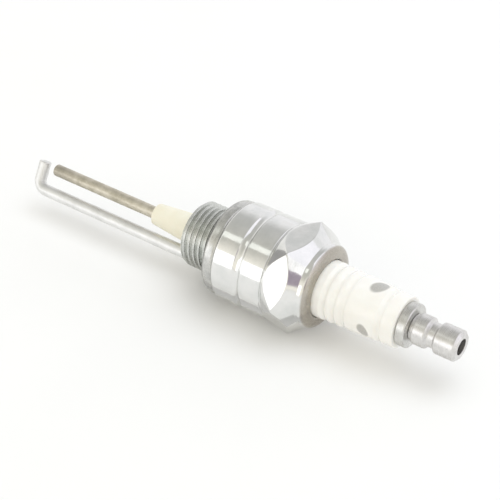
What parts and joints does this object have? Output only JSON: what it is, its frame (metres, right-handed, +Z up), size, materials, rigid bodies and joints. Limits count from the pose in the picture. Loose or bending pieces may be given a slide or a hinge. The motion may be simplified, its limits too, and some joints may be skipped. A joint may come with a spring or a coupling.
{
  "type": "ignition electrode",
  "caption": "Burner ignition electrode: hexagon shell with a threaded collar, ribbed ceramic insulator, long centre rod, hooked ground rod and a push-on terminal.",
  "frame": {"origin": "on the thread axis, at the centre of the seat gasket's free sealing face, where the last thread crest ends", "axes": "+X along the thread axis towards the high-voltage terminal, so the spark gap is at -X; +Z up, square to the hexagon flat opposite the one the part lies on; +Y completes the right-handed frame"},
  "size_m": [0.1047, 0.0238, 0.0208],
  "materials": {
    "plated_shell": "bright nickel plate",
    "gasket_steel": "satin plated sheet",
    "ground_rod": "polished heat-resistant wire",
    "weld_metal": "dressed weld",
    "glazed_alumina": "clear glaze",
    "washer_copper": "soft copper",
    "packing_wire": "bare wire",
    "talc": "pressed powder",
    "electrode_alloy": "oxidised heat-resistant alloy",
    "seal_glass": "fused metal-glass seal",
    "terminal_plate": "dull nickel plate"
  },
  "bodies": {
    "plug": {"shell": "plated_shell", "ground_electrode": "ground_rod", "ground_weld": "weld_metal", "insulator": "glazed_alumina", "seat_washer": "washer_copper", "lower_packing_ring": "packing_wire", "talc_seal": "talc", "upper_packing_ring": "packing_wire", "centre_electrode": "electrode_alloy", "glass_seal": "seal_glass", "terminal_stud": "terminal_plate"},
    "gasket": {"seat_gasket": "gasket_steel"},
    "nut": {"terminal_nut": "terminal_plate"}
  },
  "joints": [
    {"name": "gasket_spin", "type": "hinge", "parent": "plug", "child": "gasket", "pos_m": [0.00135, 0, 0], "axis": [1, 0, 0], "continuous": true},
    {"name": "nut_off", "type": "slide", "parent": "plug", "child": "nut", "axis": [1, 0, 0], "range_m": [0, 0.009]}
  ]
}
